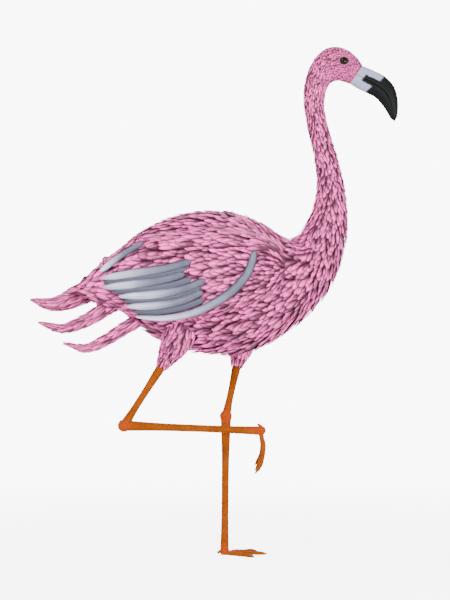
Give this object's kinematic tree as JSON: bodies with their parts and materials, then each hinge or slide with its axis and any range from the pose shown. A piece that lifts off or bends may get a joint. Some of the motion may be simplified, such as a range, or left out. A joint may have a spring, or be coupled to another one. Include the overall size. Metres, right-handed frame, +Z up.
{
  "type": "life-size flamingo, a wading bird standing on one leg",
  "caption": "Pink flamingo standing on one leg, the other drawn up under its belly, with an S-curved neck and a bent black-tipped bill.",
  "frame": {"origin": "on the sole of the standing left foot, under the pad where its front toes meet", "axes": "+Z up, +X towards the bill, +Y towards the bird's left side"},
  "size_m": [0.8051, 0.2806, 1.113],
  "materials": {
    "feathers": "soft pink contour feathers over the body",
    "neck_and_head": "short pink feathers lying close over the muscle and bone of neck and head",
    "flight_feathers": "silver-grey satin flight feather vanes",
    "leg_skin": "orange scaly leg skin",
    "bill_horn": "smooth horn, pale grey with a black tip",
    "claws": "black horn",
    "eyes": "wet black eye"
  },
  "bodies": {
    "root": {"neck_lower": "neck_and_head", "neck_middle": "neck_and_head", "neck_upper": "neck_and_head", "head": "neck_and_head", "trunk": "feathers", "wing_left": "feathers", "wing_right": "feathers", "tail_upper": "feathers", "tail_middle_left": "feathers", "tail_middle_right": "feathers", "tail_lower_left": "feathers", "tail_lower_right": "feathers", "thigh_left": "feathers", "thigh_right": "feathers", "wing_left_tertial": "flight_feathers", "wing_left_secondary_1": "flight_feathers", "wing_left_secondary_2": "flight_feathers", "wing_left_secondary_3": "flight_feathers", "wing_left_secondary_4": "flight_feathers", "wing_left_primary": "flight_feathers", "shin_left": "leg_skin", "tarsus_left": "leg_skin", "foot_left": "leg_skin", "foot_left_claw_inner": "claws", "foot_left_claw_middle": "claws", "foot_left_claw_outer": "claws", "eye_left": "eyes", "wing_right_tertial": "flight_feathers", "wing_right_secondary_1": "flight_feathers", "wing_right_secondary_2": "flight_feathers", "wing_right_secondary_3": "flight_feathers", "wing_right_secondary_4": "flight_feathers", "wing_right_primary": "flight_feathers", "shin_right": "leg_skin", "tarsus_right": "leg_skin", "foot_right": "leg_skin", "foot_right_claw_inner": "claws", "foot_right_claw_middle": "claws", "foot_right_claw_outer": "claws", "eye_right": "eyes", "bill_upper": "bill_horn", "bill_lower": "bill_horn"}
  },
  "joints": []
}
